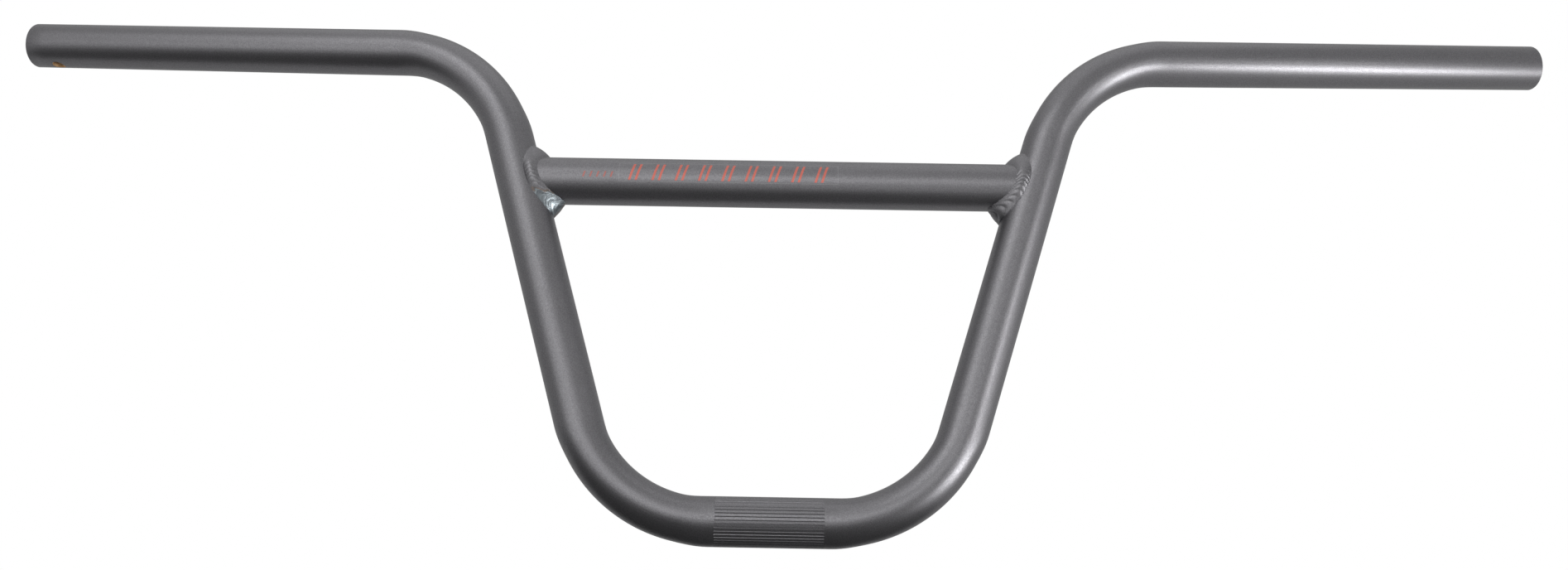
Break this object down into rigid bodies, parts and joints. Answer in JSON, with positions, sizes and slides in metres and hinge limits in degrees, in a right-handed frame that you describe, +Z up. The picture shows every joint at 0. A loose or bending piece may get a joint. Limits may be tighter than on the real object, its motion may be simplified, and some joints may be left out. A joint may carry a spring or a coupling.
{
  "type": "bmx handlebar",
  "caption": "Welded alloy handlebar for a small-wheeled bicycle: one bent tube with swept-back grips, braced by a level cross tube, grooved where the stem clamps it.",
  "frame": {"origin": "middle of the clamped stretch, on the tube's axis", "axes": "+X along the clamped stretch, to the right seen from the front; +Z up, the way the legs rise; -Y to the front, so the grips sweep back towards +Y"},
  "size_m": [0.7724, 0.0747, 0.2756],
  "materials": {
    "grey_coat": "satin charcoal metallic coat on aluminium tube",
    "weld_coat": "rippled weld metal under the same charcoal coat"
  },
  "bodies": {
    "root": {"main_tube": "grey_coat", "cross_tube": "grey_coat", "weld_left": "weld_coat", "weld_right": "weld_coat"}
  },
  "joints": []
}
